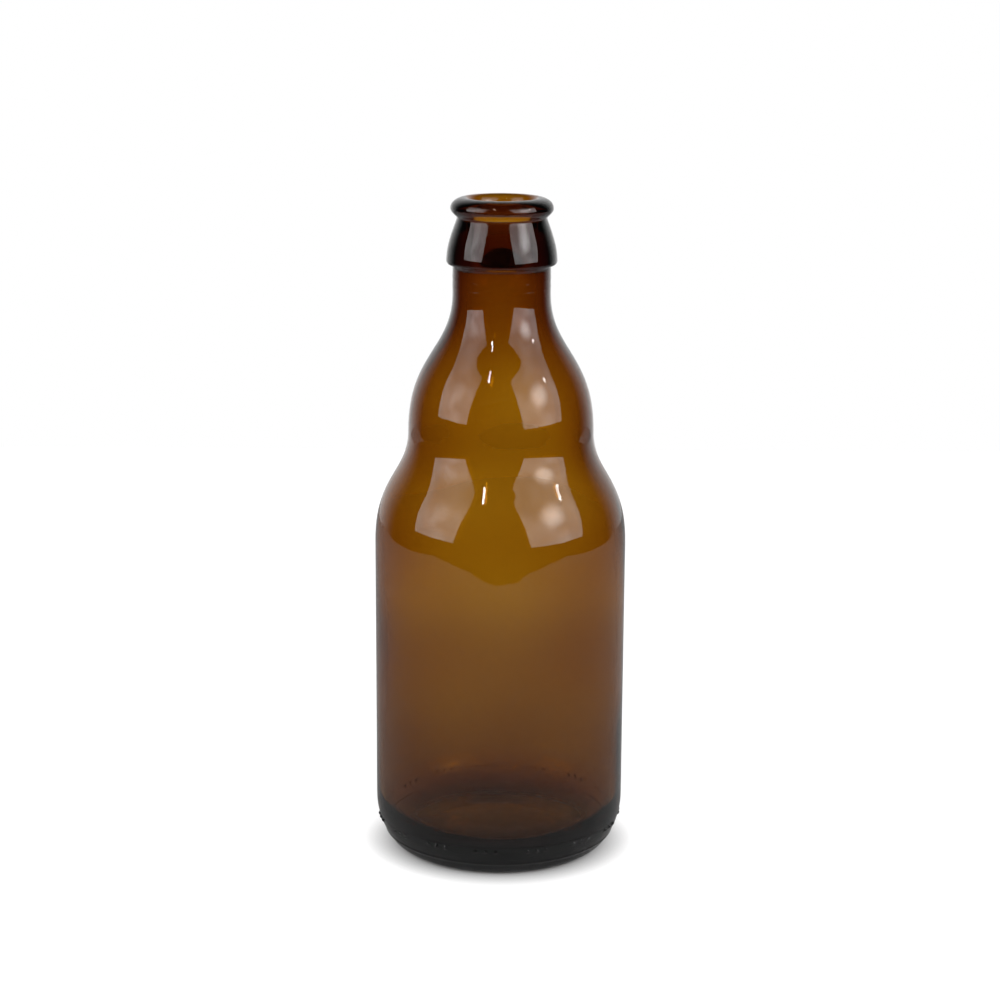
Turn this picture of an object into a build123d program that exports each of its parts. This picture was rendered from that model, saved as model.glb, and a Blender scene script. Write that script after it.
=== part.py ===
from build123d import *
import math
import os

# A short, empty, open glass beer bottle in one piece.
# Millimetres. The origin is the centre of the ring that the bottle stands on,
# and +Z runs up its axis to the mouth. Everything is one profile, drawn in the
# XZ plane and turned once about Z.

# Overall
height = 175.0
body_diameter = 66.5

# Heights of the bands above the straight side, from the mouth down
finish_height = 18.3  # mouth to the underside of the collar
neck_length = 6.6  # straight neck below the collar
bulge_rise = 36.5  # waist to the foot of the neck
shoulder_rise = 30.1  # top of the straight side to the waist

# Outside diameters
waist_diameter = 48.7
neck_diameter = 25.4
groove_diameter = 23.3  # below the lip, where a crown cork grips
lip_diameter = 26.6

# How far each outside curve runs straight on before it turns
shoulder_lower_reach = 17.9
shoulder_upper_reach = 11.1
bulge_lower_reach = 20.4
bulge_upper_reach = 14.7

# Collar and lip
collar_overhang = 1.65  # collar beyond the neck
collar_underside = 1.9  # height of the collar's underside
collar_edge_reach = 1.2
collar_taper_reach = 4.9
groove_height = 5.4  # groove below the mouth
groove_reach = 0.7
lip_height = 2.8  # widest part of the lip below the mouth
lip_edge_reach = 1.3

# Inside of the mouth
bore_diameter = 16.0
mouth_rounding = 1.75  # how far the mouth's rounded edge spreads outward
mouth_depth = 2.6  # height of that rounded edge
bore_length = 7.0  # narrowest stretch below the rounded edge

# Heel and standing ring
heel_side_radius = 18.4
heel_corner_radius = 5.4
heel_split_angle = 37.0  # where the two heel radii meet, below the horizontal
standing_ring_width = 2.2
push_up = 3.2  # rise of the bottom's middle above the ground
push_up_edge_rise = 1.6
push_up_edge_run = 3.0

# Glass thickness
body_wall = 2.2
waist_wall = 2.5
neck_wall = 3.1
base_wall = 4.4  # at the middle of the bottom
floor_rise = 1.2  # inside floor's middle above its edge
inner_corner_width = 9.0
inner_corner_height = 9.5
inner_reach_shift = 0.8  # inside curves turn this much later than the outside

quarter_round = 0.5523  # handle length that turns a Bezier into a quarter ellipse


def flow(lower, upper, lower_reach, upper_reach):
    """A smooth S from lower to upper that leaves and arrives parallel to the axis."""
    (lower_r, lower_z), (upper_r, upper_z) = lower, upper
    return Bezier(
        (lower_r, 0, lower_z),
        (lower_r, 0, lower_z + lower_reach),
        (upper_r, 0, upper_z - upper_reach),
        (upper_r, 0, upper_z),
    )


def quarter(start, corner, end):
    """A quarter ellipse from start to end that bulges towards corner."""
    toward_corner = [
        tuple(p + quarter_round * (c - p) for p, c in zip(point, corner))
        for point in (start, end)
    ]
    points = (start, toward_corner[0], toward_corner[1], end)
    return Bezier(*[(r, 0, z) for r, z in points])


def straight(start, end):
    return Line((start[0], 0, start[1]), (end[0], 0, end[1]))


def heel(body_radius):
    """The two tangent arcs from the standing ring up to the straight side."""
    split = math.radians(heel_split_angle)
    top = heel_side_radius * math.sin(split) + heel_corner_radius * (1 - math.sin(split))
    side_centre = (body_radius - heel_side_radius, top)
    corner_centre_r = side_centre[0] + (heel_side_radius - heel_corner_radius) * math.cos(split)

    def on_arc(centre, radius, angle):
        return (centre[0] + radius * math.cos(angle), 0, centre[1] - radius * math.sin(angle))

    corner_centre = (corner_centre_r, heel_corner_radius)
    halfway_down = (split + math.pi / 2) / 2
    corner_arc = ThreePointArc(
        on_arc(corner_centre, heel_corner_radius, math.pi / 2),
        on_arc(corner_centre, heel_corner_radius, halfway_down),
        on_arc(corner_centre, heel_corner_radius, split),
    )
    side_arc = ThreePointArc(
        on_arc(side_centre, heel_side_radius, split),
        on_arc(side_centre, heel_side_radius, split / 2),
        on_arc(side_centre, heel_side_radius, 0),
    )
    return corner_centre_r, top, [corner_arc, side_arc]


# Radii and heights shared by the outside and the inside
body_radius = body_diameter / 2
waist_radius = waist_diameter / 2
neck_radius = neck_diameter / 2
bore_radius = bore_diameter / 2
collar_radius = neck_radius + collar_overhang
lip_radius = lip_diameter / 2
crest_radius = bore_radius + mouth_rounding

collar_z = height - finish_height
neck_z = collar_z - neck_length
waist_z = neck_z - bulge_rise
shoulder_z = waist_z - shoulder_rise
groove = (groove_diameter / 2, height - groove_height)
lip_edge = (lip_radius, height - lip_height)
lip_crest = (crest_radius, height)
bore_top = (bore_radius, height - mouth_depth)
bore_foot = (bore_radius, height - mouth_depth - bore_length)

# Outside, from the standing ring to the mouth
ring_outer, heel_top, heel_arcs = heel(body_radius)
side_foot = (body_radius, heel_top)
side_top = (body_radius, shoulder_z)
waist = (waist_radius, waist_z)
neck_foot = (neck_radius, neck_z)
neck_top = (neck_radius, collar_z)
collar = (collar_radius, collar_z + collar_underside)
outside = heel_arcs + [
    straight(side_foot, side_top),
    flow(side_top, waist, shoulder_lower_reach, shoulder_upper_reach),
    flow(waist, neck_foot, bulge_lower_reach, bulge_upper_reach),
    straight(neck_foot, neck_top),
    flow(neck_top, collar, collar_edge_reach, collar_edge_reach),
    flow(collar, groove, collar_taper_reach, groove_reach),
    flow(groove, lip_edge, groove_reach, lip_edge_reach),
    quarter(lip_edge, (lip_radius, height), lip_crest),
]

# Inside, from the mouth down to the middle of the floor
inner_neck = (neck_radius - neck_wall, neck_z)
inner_waist = (waist_radius - waist_wall, waist_z)
inner_radius = body_radius - body_wall
inner_side_top = (inner_radius, shoulder_z)
floor_middle_z = push_up + base_wall
floor_edge = (inner_radius - inner_corner_width, floor_middle_z - floor_rise)
inner_side_foot = (inner_radius, floor_edge[1] + inner_corner_height)
throat_reach = (bore_foot[1] - neck_z) / 2
inside = [
    quarter(lip_crest, (bore_radius, height), bore_top),
    straight(bore_top, bore_foot),
    flow(inner_neck, bore_foot, throat_reach, throat_reach),
    flow(
        inner_waist,
        inner_neck,
        bulge_lower_reach - inner_reach_shift,
        bulge_upper_reach + inner_reach_shift,
    ),
    flow(
        inner_side_top,
        inner_waist,
        shoulder_lower_reach - inner_reach_shift,
        shoulder_upper_reach + inner_reach_shift,
    ),
    straight(inner_side_top, inner_side_foot),
    quarter(inner_side_foot, (inner_radius, floor_edge[1]), floor_edge),
    Bezier(
        (floor_edge[0], 0, floor_edge[1]),
        (floor_edge[0] / 2, 0, floor_edge[1]),
        (floor_edge[0] / 2, 0, floor_middle_z),
        (0, 0, floor_middle_z),
    ),
]

# Underside: the axis, the push-up and the flat ring that the bottle stands on
ring_inner = ring_outer - standing_ring_width
underside = [
    straight((0, floor_middle_z), (0, push_up)),
    Bezier(
        (0, 0, push_up),
        (ring_inner / 2, 0, push_up),
        (ring_inner - push_up_edge_run, 0, push_up_edge_rise),
        (ring_inner, 0, 0),
    ),
    straight((ring_inner, 0), (ring_outer, 0)),
]

profile = make_face(outside + inside + underside)
bottle = revolve(profile, axis=Axis.Z, revolution_arc=360)
bottle.label = "bottle"

os.makedirs("parts", exist_ok=True)
export_step(bottle, "parts/bottle.step")
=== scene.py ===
"""Looks for a short, empty brown glass beer bottle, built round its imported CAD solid."""

import math

import bpy
from mathutils import Matrix, Vector

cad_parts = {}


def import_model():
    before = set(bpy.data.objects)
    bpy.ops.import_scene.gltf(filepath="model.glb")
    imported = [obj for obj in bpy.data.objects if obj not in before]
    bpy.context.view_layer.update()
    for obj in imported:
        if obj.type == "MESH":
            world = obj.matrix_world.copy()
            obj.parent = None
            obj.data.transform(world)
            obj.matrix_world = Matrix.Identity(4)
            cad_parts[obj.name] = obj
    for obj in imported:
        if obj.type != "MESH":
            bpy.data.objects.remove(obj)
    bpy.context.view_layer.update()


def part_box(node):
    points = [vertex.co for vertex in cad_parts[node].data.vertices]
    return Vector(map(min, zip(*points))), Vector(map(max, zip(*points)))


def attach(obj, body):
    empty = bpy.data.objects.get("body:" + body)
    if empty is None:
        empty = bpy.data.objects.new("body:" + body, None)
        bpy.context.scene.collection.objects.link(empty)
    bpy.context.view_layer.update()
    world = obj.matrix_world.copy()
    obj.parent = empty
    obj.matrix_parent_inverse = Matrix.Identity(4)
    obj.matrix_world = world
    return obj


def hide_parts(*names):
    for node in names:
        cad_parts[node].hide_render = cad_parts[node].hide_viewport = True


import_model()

MM = 0.001
low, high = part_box("bottle")
HEIGHT = (high[2] - low[2]) / MM
BODY_RADIUS = (high[0] - low[0]) / 2 / MM

# The CAD solid's other sizes, in millimetres
FINISH_HEIGHT, NECK_LENGTH, BULGE_RISE, SHOULDER_RISE = 18.3, 6.6, 36.5, 30.1
WAIST_RADIUS, NECK_RADIUS, GROOVE_RADIUS, LIP_RADIUS = 24.35, 12.7, 11.65, 13.3
SHOULDER_REACH, BULGE_REACH = (17.9, 11.1), (20.4, 14.7)
COLLAR_OVERHANG, COLLAR_UNDERSIDE, COLLAR_EDGE_REACH, COLLAR_TAPER_REACH = 1.65, 1.9, 1.2, 4.9
GROOVE_HEIGHT, GROOVE_REACH, LIP_HEIGHT, LIP_EDGE_REACH = 5.4, 0.7, 2.8, 1.3
BORE_RADIUS, MOUTH_ROUNDING, MOUTH_DEPTH, BORE_LENGTH = 8.0, 1.75, 2.6, 7.0
HEEL_SIDE_RADIUS, HEEL_CORNER_RADIUS, HEEL_SPLIT = 18.4, 5.4, math.radians(37.0)
RING_WIDTH, PUSH_UP, PUSH_UP_EDGE_RISE, PUSH_UP_EDGE_RUN = 2.2, 3.2, 1.6, 3.0
BODY_WALL, WAIST_WALL, NECK_WALL, BASE_WALL = 2.2, 2.5, 3.1, 4.4
FLOOR_RISE, CORNER_WIDTH, CORNER_HEIGHT, INNER_SHIFT = 1.2, 9.0, 9.5, 0.8
QUARTER_ROUND = 0.5523  # handle length that makes a cubic a quarter circle
COLLAR_Z = HEIGHT - FINISH_HEIGHT
NECK_Z = COLLAR_Z - NECK_LENGTH
WAIST_Z = NECK_Z - BULGE_RISE
SHOULDER_Z = WAIST_Z - SHOULDER_RISE

# The mesh: facets round the axis, and how much closer together they come at the seams
TURNS, SEAM_CLOSENESS = 240, 0.75

# Marks of the mould on the outside, in millimetres
SEAM_HEIGHT, SEAM_WIDTH = 0.07, 0.5
PARTING_HEIGHT, PARTING_WIDTH, PARTING_Z = 0.2, 0.35, 4.0
NECK_RING_HEIGHT, NECK_RING_WIDTH, NECK_RING_DROPS = 0.05, 0.35, (2.4, 4.6)  # below the collar
DOT_RADIUS, DOT_RISE, DOT_Z, DOT_PITCH = 0.6, 0.45, 8.0, 2.6
DOT_GROUPS, DOT_SPLIT = 15, 4  # groups round the heel, and how finely a facet is cut there
DOT_SLANT = 1.15  # the heel leans, so a dot is lower than it is wide

# The inside, where hot glass settled: extra wall in millimetres, and heights where it fades
BODY_SETTLE, BODY_SETTLE_TOP, BODY_SETTLE_FULL = 0.3, 105, 90
LOW_SETTLE, LOW_SETTLE_TOP, LOW_SETTLE_FULL = 0.4, 70, 30
NECK_SETTLE, NECK_SETTLE_WIDTH = 0.55, 14
SIDE_SHARPNESS = 8  # how quickly the body's extra wall goes away from the full width
# Slow waves: share, waves round the axis, phase, and climb for each millimetre of height
INNER_WAVE, WAVE_FADE = 0.16, 20
WAVES = ((1.0, 2, 0.9, 0.031), (0.7, 3, -1.7, -0.055), (0.5, 5, 2.2, 0.09))
BAND_SHARE, BAND_CLIMB, BAND_TILT = 0.5, 0.21, 1.5

# The glass
GLASS_IOR = 1.52
GLASS_TINT, GLASS_DENSITY = (0.78, 0.63, 0.0, 1), 1300.0

# The floor sheet, in metres, and its brightness, where 1 is white
SHEET_FRONT, SHEET_BACK, SHEET_SIDE = -0.335, 0.5, 0.6
FLOOR_COLOUR, FLOOR_GLOW = 0.38, 0.8
# Painted shade: glow of the sheet seen through the glass, near the bottle and far off
SHADE_GLOW, SHADE_FAR_GLOW = 0.18, 0.62  # the sheet through the glass, near the bottle and far off
SHADE_NEAR, SHADE_FAR = 0.03, 0.33
# Painted contact shadow: the reach of the darkening painted into the sheet's glow under the bottle's edge
CONTACT_REACH = 0.007  # how far the dark line under the bottle's edge spreads

# The room
AMBIENT = 0.5  # what the white room adds to the lamps
ROOM_DARK, ROOM_BACK = 0.015, 0.75  # what gloss mirrors in front and behind
ROOM_TURN, ROOM_FULL = 0.4, 0.95  # where, from the axis's front (-1) to its back (1), that changes

# The camera: its place in metres, and its lens and sensor in millimetres
CAMERA_PLACE = (-0.00014, -0.6187, 0.2424)
CAMERA_TILT, CAMERA_ROLL = math.radians(13.42), math.radians(0.31)
CAMERA_LENS, CAMERA_SENSOR = 86.26, 36.0


# --- The outline: each stretch's last number is how many steps it is drawn in ---


def bezier(p0, p1, p2, p3, count):
    """Points along a cubic from p0 to p3, without the last one."""
    points = []
    for i in range(count):
        t = i / count
        weights = ((1 - t) ** 3, 3 * t * (1 - t) ** 2, 3 * t * t * (1 - t), t**3)
        points.append(tuple(sum(w * p[k] for w, p in zip(weights, (p0, p1, p2, p3))) for k in (0, 1)))
    return points


def flow(lower, upper, lower_reach, upper_reach, count):
    """An S going up that leaves and arrives parallel to the axis."""
    lower_handle = (lower[0], lower[1] + lower_reach)
    upper_handle = (upper[0], upper[1] - upper_reach)
    return bezier(lower, lower_handle, upper_handle, upper, count)


def flow_down(upper, lower, upper_reach, lower_reach, count):
    """The same S, going down."""
    upper_handle = (upper[0], upper[1] - upper_reach)
    lower_handle = (lower[0], lower[1] + lower_reach)
    return bezier(upper, upper_handle, lower_handle, lower, count)


def quarter(start, corner, end, count):
    """A quarter ellipse that rounds off the corner."""
    near_start = tuple(p + QUARTER_ROUND * (c - p) for p, c in zip(start, corner))
    near_end = tuple(p + QUARTER_ROUND * (c - p) for p, c in zip(end, corner))
    return bezier(start, near_start, near_end, end, count)


def straight(start, end, count):
    return [tuple(a + (b - a) * i / count for a, b in zip(start, end)) for i in range(count)]


def arc(centre, radius, first, last, count):
    points = []
    for i in range(count):
        angle = first + (last - first) * i / count
        points.append((centre[0] + radius * math.cos(angle), centre[1] + radius * math.sin(angle)))
    return points


def heel(side_centre, corner_centre):
    """The tight corner off the standing ring, then the wide round, drawn finely where its marks are."""
    plain_from = -HEEL_SPLIT / 4
    return (
        arc(corner_centre, HEEL_CORNER_RADIUS, -math.pi / 2, -HEEL_SPLIT, 14)
        + arc(side_centre, HEEL_SIDE_RADIUS, -HEEL_SPLIT, plain_from, 42)
        + arc(side_centre, HEEL_SIDE_RADIUS, plain_from, 0, 5)
    )


def outer_profile():
    """From the middle of the push-up, out over the ring and heel, and up to the crest of the lip."""
    side_part, corner_part = math.sin(HEEL_SPLIT), 1 - math.sin(HEEL_SPLIT)
    heel_top = HEEL_SIDE_RADIUS * side_part + HEEL_CORNER_RADIUS * corner_part
    side_centre = (BODY_RADIUS - HEEL_SIDE_RADIUS, heel_top)
    ring_outer = side_centre[0] + (HEEL_SIDE_RADIUS - HEEL_CORNER_RADIUS) * math.cos(HEEL_SPLIT)
    ring_inner = ring_outer - RING_WIDTH
    side_top = (BODY_RADIUS, SHOULDER_Z)
    waist, neck_foot, neck_top = (WAIST_RADIUS, WAIST_Z), (NECK_RADIUS, NECK_Z), (NECK_RADIUS, COLLAR_Z)
    collar = (NECK_RADIUS + COLLAR_OVERHANG, COLLAR_Z + COLLAR_UNDERSIDE)
    groove = (GROOVE_RADIUS, HEIGHT - GROOVE_HEIGHT)
    lip_edge = (LIP_RADIUS, HEIGHT - LIP_HEIGHT)
    crest = (BORE_RADIUS + MOUTH_ROUNDING, HEIGHT)
    push_up_edge = (ring_inner - PUSH_UP_EDGE_RUN, PUSH_UP_EDGE_RISE)
    return (
        bezier((0, PUSH_UP), (ring_inner / 2, PUSH_UP), push_up_edge, (ring_inner, 0), 14)
        + straight((ring_inner, 0), (ring_outer, 0), 3)
        + heel(side_centre, (ring_outer, HEEL_CORNER_RADIUS))
        + straight((BODY_RADIUS, heel_top), side_top, 12)
        + flow(side_top, waist, *SHOULDER_REACH, 26)
        + flow(waist, neck_foot, *BULGE_REACH, 30)
        + straight(neck_foot, neck_top, 20)
        + flow(neck_top, collar, COLLAR_EDGE_REACH, COLLAR_EDGE_REACH, 14)
        + flow(collar, groove, COLLAR_TAPER_REACH, GROOVE_REACH, 16)
        + flow(groove, lip_edge, GROOVE_REACH, LIP_EDGE_REACH, 12)
        + quarter(lip_edge, (LIP_RADIUS, HEIGHT), crest, 12)
    )


def inner_profile():
    """From the crest of the lip, down the bore and the inside wall to the middle of the floor."""
    crest = (BORE_RADIUS + MOUTH_ROUNDING, HEIGHT)
    bore_top = (BORE_RADIUS, HEIGHT - MOUTH_DEPTH)
    bore_foot = (BORE_RADIUS, bore_top[1] - BORE_LENGTH)
    neck = (NECK_RADIUS - NECK_WALL, NECK_Z)
    waist = (WAIST_RADIUS - WAIST_WALL, WAIST_Z)
    wall = BODY_RADIUS - BODY_WALL
    side_top = (wall, SHOULDER_Z)
    floor_middle = (0, PUSH_UP + BASE_WALL)
    floor_edge = (wall - CORNER_WIDTH, floor_middle[1] - FLOOR_RISE)
    side_foot = (wall, floor_edge[1] + CORNER_HEIGHT)
    throat_reach = (bore_foot[1] - NECK_Z) / 2
    half_edge = floor_edge[0] / 2
    return (
        quarter(crest, (BORE_RADIUS, HEIGHT), bore_top, 10)
        + straight(bore_top, bore_foot, 3)
        + flow_down(bore_foot, neck, throat_reach, throat_reach, 8)
        + flow_down(neck, waist, BULGE_REACH[1] + INNER_SHIFT, BULGE_REACH[0] - INNER_SHIFT, 30)
        + flow_down(waist, side_top, SHOULDER_REACH[1] + INNER_SHIFT, SHOULDER_REACH[0] - INNER_SHIFT, 28)
        + straight(side_top, side_foot, 16)
        + quarter(side_foot, (wall, floor_edge[1]), floor_edge, 16)
        + bezier(floor_edge, (half_edge, floor_edge[1]), (half_edge, floor_middle[1]), floor_middle, 12)
        + [floor_middle]
    )


# --- Relief on the outline: how far the surface moves out at a height and an angle ---


def ridge(distance, width):
    """1 on a fine raised line, falling smoothly to 0 beside it."""
    return math.exp(-((distance / width) ** 2))


def ramp(value, start, end):
    """0 up to start and 1 from end on, straight between them."""
    return min(1.0, max(0.0, (value - start) / (end - start)))


def outer_relief(radius, z, angle):
    """Mould seams up both sides, the ring where the mould meets its bottom plate, and neck rings."""
    seam_distance = abs(math.sin(angle)) * radius
    relief = SEAM_HEIGHT * ridge(seam_distance, SEAM_WIDTH) if z > PARTING_Z else 0.0
    for drop in NECK_RING_DROPS:
        relief += NECK_RING_HEIGHT * ridge(COLLAR_Z - drop - z, NECK_RING_WIDTH)
    return relief + PARTING_HEIGHT * ridge(z - PARTING_Z, PARTING_WIDTH)


def dot_relief(radius, z, angle):
    """Small round marks above the parting line, in evenly repeated groups of three."""
    group = 2 * math.pi / DOT_GROUPS
    offset = (angle + group / 2) % group - group / 2
    across = min(abs(offset * radius - k * DOT_PITCH) for k in (-1, 0, 1))
    distance = math.hypot(across, (z - DOT_Z) * DOT_SLANT)
    return DOT_RISE * math.exp(-((distance / DOT_RADIUS) ** 4))


def inner_relief(radius, z, angle):
    """Thicker glass low on the body and in the neck, with slow waves that stop at the mouth and floor."""
    wave = sum(share * math.sin(turns * angle + phase + climb * z) for share, turns, phase, climb in WAVES)
    wave += BAND_SHARE * math.sin(BAND_CLIMB * z + BAND_TILT * math.sin(angle))
    wave_fade = ramp(z, COLLAR_Z, COLLAR_Z - WAVE_FADE) * ramp(radius, 0, WAVE_FADE)
    body = BODY_SETTLE + LOW_SETTLE * ramp(z, LOW_SETTLE_TOP, LOW_SETTLE_FULL)
    side = ramp(z, BODY_SETTLE_TOP, BODY_SETTLE_FULL) * ramp(radius, 0, BODY_RADIUS) ** SIDE_SHARPNESS
    neck = NECK_SETTLE * ridge(z - NECK_Z, NECK_SETTLE_WIDTH)
    return INNER_WAVE * wave_fade * wave - body * side - neck


# --- The glass shell ---


def ring_angles(split):
    """Angles round a ring, closer together beside the two mould seams, each facet cut in split parts."""
    even = [2 * math.pi * i / TURNS for i in range(TURNS)]
    facets = [a - SEAM_CLOSENESS * math.sin(2 * a) / 2 for a in even]
    angles = []
    for first, following in zip(facets, facets[1:] + facets[:1]):
        step = (following - first) % (2 * math.pi) / split
        angles += [first + step * part for part in range(split)]
    return angles


def stitch(a, a_split, b, b_split):
    """Faces between the rings that start at vertices a and b, where one may be cut more finely."""
    coarse = TURNS * min(a_split, b_split)
    a_step, b_step = TURNS * a_split // coarse, TURNS * b_split // coarse
    faces = []
    for i in range(coarse):
        lower = [a + (i * a_step + k) % (TURNS * a_split) for k in range(a_step + 1)]
        upper = [b + (i * b_step + k) % (TURNS * b_split) for k in range(b_step + 1)]
        faces.append(tuple(lower + upper[::-1]))
    return faces


def lathe(name):
    """The closed glass shell: one vertex at each end of the profile, and rings between them."""
    outer, inner = outer_profile(), inner_profile()
    rings = [(r, z, outer_relief) for r, z in outer[1:]] + [(r, z, inner_relief) for r, z in inner[:-1]]
    angles = {split: ring_angles(split) for split in (1, DOT_SPLIT)}
    dots_half_height = 2.2 * DOT_RADIUS
    vertices, starts = [(0, 0, outer[0][1] * MM)], []
    for radius, z, relief in rings:
        on_heel = relief is outer_relief and radius > BODY_RADIUS / 2
        dotted = on_heel and abs(z - DOT_Z) < dots_half_height
        split = DOT_SPLIT if dotted else 1
        starts.append((len(vertices), split))
        for angle in angles[split]:
            rise = relief(radius, z, angle) + (dot_relief(radius, z, angle) if dotted else 0.0)
            r = (radius + rise) * MM
            vertices.append((r * math.cos(angle), r * math.sin(angle), z * MM))
    vertices.append((0, 0, inner[-1][1] * MM))

    faces = [(0, 1 + (i + 1) % TURNS, 1 + i) for i in range(TURNS)]
    for lower, upper in zip(starts, starts[1:]):
        faces += stitch(*lower, *upper)
    top, last = starts[-1][0], len(vertices) - 1
    faces += [(top + i, top + (i + 1) % TURNS, last) for i in range(TURNS)]
    return new_mesh(name, vertices, faces, smooth=True)


def new_mesh(name, vertices, faces, smooth):
    mesh = bpy.data.meshes.new(name)
    mesh.from_pydata(vertices, [], faces)
    mesh.polygons.foreach_set("use_smooth", [smooth] * len(mesh.polygons))
    mesh.update()
    piece = bpy.data.objects.new(name, mesh)
    bpy.context.scene.collection.objects.link(piece)
    return piece


# --- Materials, floor and room ---


def add_node(tree, kind, inputs=None, **settings):
    """A new node. Each input is a value, or another node's output to join to."""
    node = tree.nodes.new(kind)
    for name, value in settings.items():
        setattr(node, name, value)
    for key, value in (inputs or {}).items():
        if isinstance(value, bpy.types.NodeSocket):
            tree.links.new(value, node.inputs[key])
        else:
            node.inputs[key].default_value = value
    return node


def calculate(tree, operation, first, second):
    return add_node(tree, "ShaderNodeMath", {0: first, 1: second}, operation=operation).outputs[0]


def map_range(tree, value, source, target, interpolation="LINEAR"):
    """The value, with the range source stretched on to the range target."""
    inputs = {
        "Value": value,
        "From Min": source[0],
        "From Max": source[1],
        "To Min": target[0],
        "To Max": target[1],
    }
    node = add_node(tree, "ShaderNodeMapRange", inputs, interpolation_type=interpolation)
    return node.outputs["Result"]


def noise(tree, place, scale, detail):
    inputs = {"Vector": place, "Scale": scale, "Detail": detail}
    return add_node(tree, "ShaderNodeTexNoise", inputs).outputs["Fac"]


def new_material(name):
    material = bpy.data.materials.new(name)
    material.use_nodes = True
    material.node_tree.nodes.clear()
    return material, material.node_tree


def amber_glass():
    """Brown bottle glass: clear, and coloured by how far light runs through it."""
    material, tree = new_material("amber_glass")
    place = add_node(tree, "ShaderNodeTexCoord").outputs["Object"]

    # Faint dulling where bottles rub and hands hold, mostly low on the body
    handling = noise(tree, place, scale=55.0, detail=6.0)
    dulling = map_range(tree, handling, (0.5, 0.8), (0.0, 0.12))
    height = add_node(tree, "ShaderNodeSeparateXYZ", {0: place}).outputs["Z"]
    low_down = map_range(tree, height, (0.09, 0.03), (0.15, 1.0))
    wear = calculate(tree, "MULTIPLY", dulling, low_down)

    # The slow ripple of a moulded surface
    ripple = noise(tree, place, scale=90.0, detail=2.0)
    bump_inputs = {"Strength": 0.12, "Distance": 0.0004, "Height": ripple}
    bump = add_node(tree, "ShaderNodeBump", bump_inputs)

    glass_inputs = {
        "Base Color": (1, 1, 1, 1),
        "Transmission Weight": 1.0,
        "IOR": GLASS_IOR,
        "Roughness": wear,
        "Normal": bump.outputs["Normal"],
    }
    glass = add_node(tree, "ShaderNodeBsdfPrincipled", glass_inputs)
    brown = add_node(tree, "ShaderNodeVolumeAbsorption", {"Color": GLASS_TINT, "Density": GLASS_DENSITY})
    surfaces = {"Surface": glass.outputs["BSDF"], "Volume": brown.outputs["Volume"]}
    add_node(tree, "ShaderNodeOutputMaterial", surfaces)
    return material


def white_sheet():
    """Paper floor, lit by the lamps, with a white base for what is seen direct or through the glass, and
    painted shade in that base near and under the bottle.
    """
    material, tree = new_material("white_sheet")
    paper = add_node(tree, "ShaderNodeBsdfDiffuse", {"Color": (FLOOR_COLOUR, FLOOR_COLOUR, FLOOR_COLOUR, 1)})

    # Painted shade: through the glass the sheet's glow is dimmer near the bottle, standing in for the
    # bottle's own brown shadow
    place = add_node(tree, "ShaderNodeTexCoord").outputs["Object"]
    from_axis = add_node(tree, "ShaderNodeVectorMath", {0: place}, operation="LENGTH").outputs["Value"]
    reach, glows = (SHADE_NEAR, SHADE_FAR), (SHADE_GLOW, SHADE_FAR_GLOW)
    painted_shade = map_range(tree, from_axis, reach, glows, "SMOOTHSTEP")
    path = add_node(tree, "ShaderNodeLightPath")
    direct = calculate(tree, "MULTIPLY", path.outputs["Is Camera Ray"], FLOOR_GLOW)
    through = calculate(tree, "MULTIPLY", path.outputs["Is Transmission Ray"], painted_shade)
    either = calculate(tree, "ADD", direct, through)

    # Painted contact shadow: the glow is darkened where the bottle hems in the sheet
    painted_contact_shadow = add_node(tree, "ShaderNodeAmbientOcclusion", {"Distance": CONTACT_REACH})
    strength = calculate(tree, "MULTIPLY", either, painted_contact_shadow.outputs["AO"])
    glow = add_node(tree, "ShaderNodeEmission", {"Strength": strength})
    both = add_node(tree, "ShaderNodeAddShader", {0: paper.outputs[0], 1: glow.outputs[0]})
    add_node(tree, "ShaderNodeOutputMaterial", {"Surface": both.outputs[0]})
    return material


def floor():
    corners = [
        (-SHEET_SIDE, SHEET_FRONT, 0),
        (SHEET_SIDE, SHEET_FRONT, 0),
        (SHEET_SIDE, SHEET_BACK, 0),
        (-SHEET_SIDE, SHEET_BACK, 0),
    ]
    sheet = new_mesh("floor_sheet", corners, [(0, 1, 2, 3)], smooth=False)
    sheet.data.materials.append(white_sheet())


def blend(tree, factor, off, on):
    return add_node(tree, "ShaderNodeMix", {"Factor": factor, "A": off, "B": on}).outputs["Result"]


def world():
    """White where it is seen or shows through glass. Gloss mirrors a dark front and a pale back."""
    studio = bpy.data.worlds.new("studio")
    studio.use_nodes = True
    bpy.context.scene.world = studio
    tree = studio.node_tree
    tree.nodes.clear()
    direction = add_node(tree, "ShaderNodeTexCoord").outputs["Generated"]
    back = add_node(tree, "ShaderNodeSeparateXYZ", {0: direction}).outputs["Y"]
    mirrored = map_range(tree, back, (ROOM_TURN, ROOM_FULL), (ROOM_DARK, ROOM_BACK), "SMOOTHSTEP")
    path = add_node(tree, "ShaderNodeLightPath").outputs
    seen = calculate(tree, "MAXIMUM", path["Is Camera Ray"], path["Is Transmission Ray"])
    unseen = blend(tree, path["Is Glossy Ray"], AMBIENT, mirrored)
    strength = blend(tree, seen, unseen, 1.0)
    background = add_node(tree, "ShaderNodeBackground", {"Color": (1, 1, 1, 1), "Strength": strength})
    add_node(tree, "ShaderNodeOutputWorld", {"Surface": background.outputs[0]})


# --- Lamps and camera ---


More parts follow.
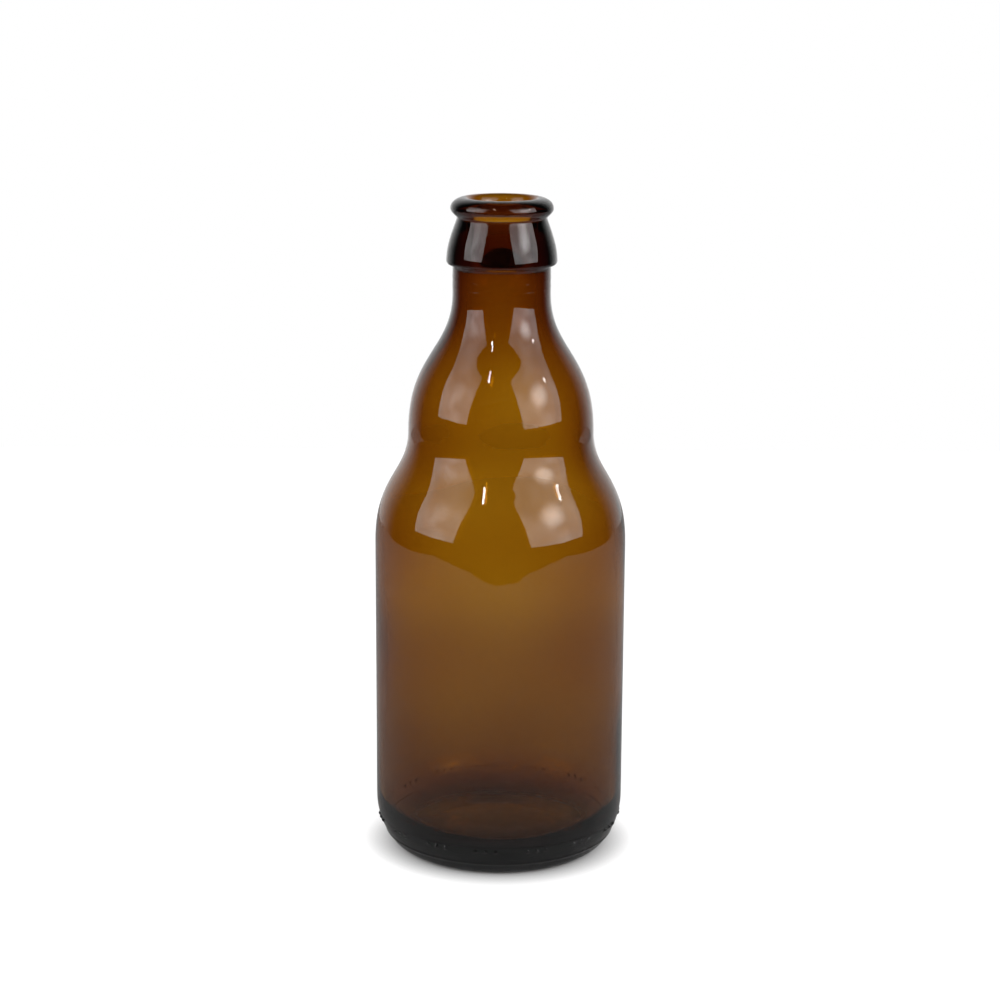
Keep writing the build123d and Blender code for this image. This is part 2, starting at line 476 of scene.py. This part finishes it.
def lamp(name, azimuth, elevation, distance, width, height, radiance, bulb):
    """A soft lamp that faces the middle of the bottle. Azimuth 0 is in front, and 90 to the right."""
    data = bpy.data.lights.new(name, "AREA")
    data.shape = "RECTANGLE"
    data.size, data.size_y = width, height
    data.energy = radiance * math.pi * width * height
    light = bpy.data.objects.new(name, data)
    a, e = math.radians(azimuth), math.radians(elevation)
    toward = Vector((math.sin(a) * math.cos(e), -math.cos(a) * math.cos(e), math.sin(e)))
    middle = Vector((0, 0, HEIGHT * MM / 2))
    light.location = middle + toward * distance
    light.rotation_mode = "QUATERNION"
    light.rotation_quaternion = toward.to_track_quat("Z", "Y")
    bpy.context.scene.collection.objects.link(light)
    light.visible_camera = False
    soften(data, bulb)


def soften(data, bulb):
    """Cloth over a lamp: dimmer toward its top, slightly uneven, and brighter in front of the bulb."""
    data.use_nodes = True
    tree = data.node_tree
    place = add_node(tree, "ShaderNodeNewGeometry").outputs["Parametric"]
    height = add_node(tree, "ShaderNodeSeparateXYZ", {0: place}).outputs["Y"]
    fade = map_range(tree, height, (0.0, 1.0), (1.15, 0.6), "SMOOTHSTEP")
    uneven = map_range(tree, noise(tree, place, scale=2.6, detail=1.0), (0.3, 0.7), (0.65, 1.3))
    cloth = calculate(tree, "MULTIPLY", fade, uneven)
    middle = (0.5, 0.5, 0.0)
    from_bulb = add_node(tree, "ShaderNodeVectorMath", {0: place, 1: middle}, operation="DISTANCE")
    hot = map_range(tree, from_bulb.outputs["Value"], (0.3, 0.0), (0.0, bulb), "SMOOTHERSTEP")
    emission = next(node for node in tree.nodes if node.type == "EMISSION")
    tree.links.new(calculate(tree, "ADD", cloth, hot), emission.inputs["Strength"])


def camera():
    """At the height and distance that the bottle is seen from, tilted down and turned a hair."""
    data = bpy.data.cameras.new("camera")
    data.lens, data.sensor_width = CAMERA_LENS, CAMERA_SENSOR
    data.clip_start, data.clip_end = 0.01, 50
    view = bpy.data.objects.new("camera", data)
    tilt = Matrix.Rotation(math.pi / 2 - CAMERA_TILT, 4, "X")
    roll = Matrix.Rotation(CAMERA_ROLL, 4, "Z")
    view.matrix_world = Matrix.Translation(CAMERA_PLACE) @ tilt @ roll
    bpy.context.scene.collection.objects.link(view)
    bpy.context.scene.camera = view


camera()
world()
floor()
lamp("left_panel", -64, 27, distance=1.2, width=1.0, height=1.0, radiance=2.5, bulb=0.7)
lamp("right_panel", 54, 27, distance=1.2, width=1.3, height=1.1, radiance=2.5, bulb=2.4)
lamp("right_bulb", 72, 36, distance=1.1, width=0.05, height=0.07, radiance=18.0, bulb=0.0)
lamp("top_bulb", -21, 47, distance=1.1, width=0.035, height=0.16, radiance=30.0, bulb=0.0)

bottle = lathe("bottle_glass")
bottle.data.materials.append(amber_glass())
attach(bottle, "root")
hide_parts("bottle")

bpy.context.scene.view_settings.view_transform = "Standard"
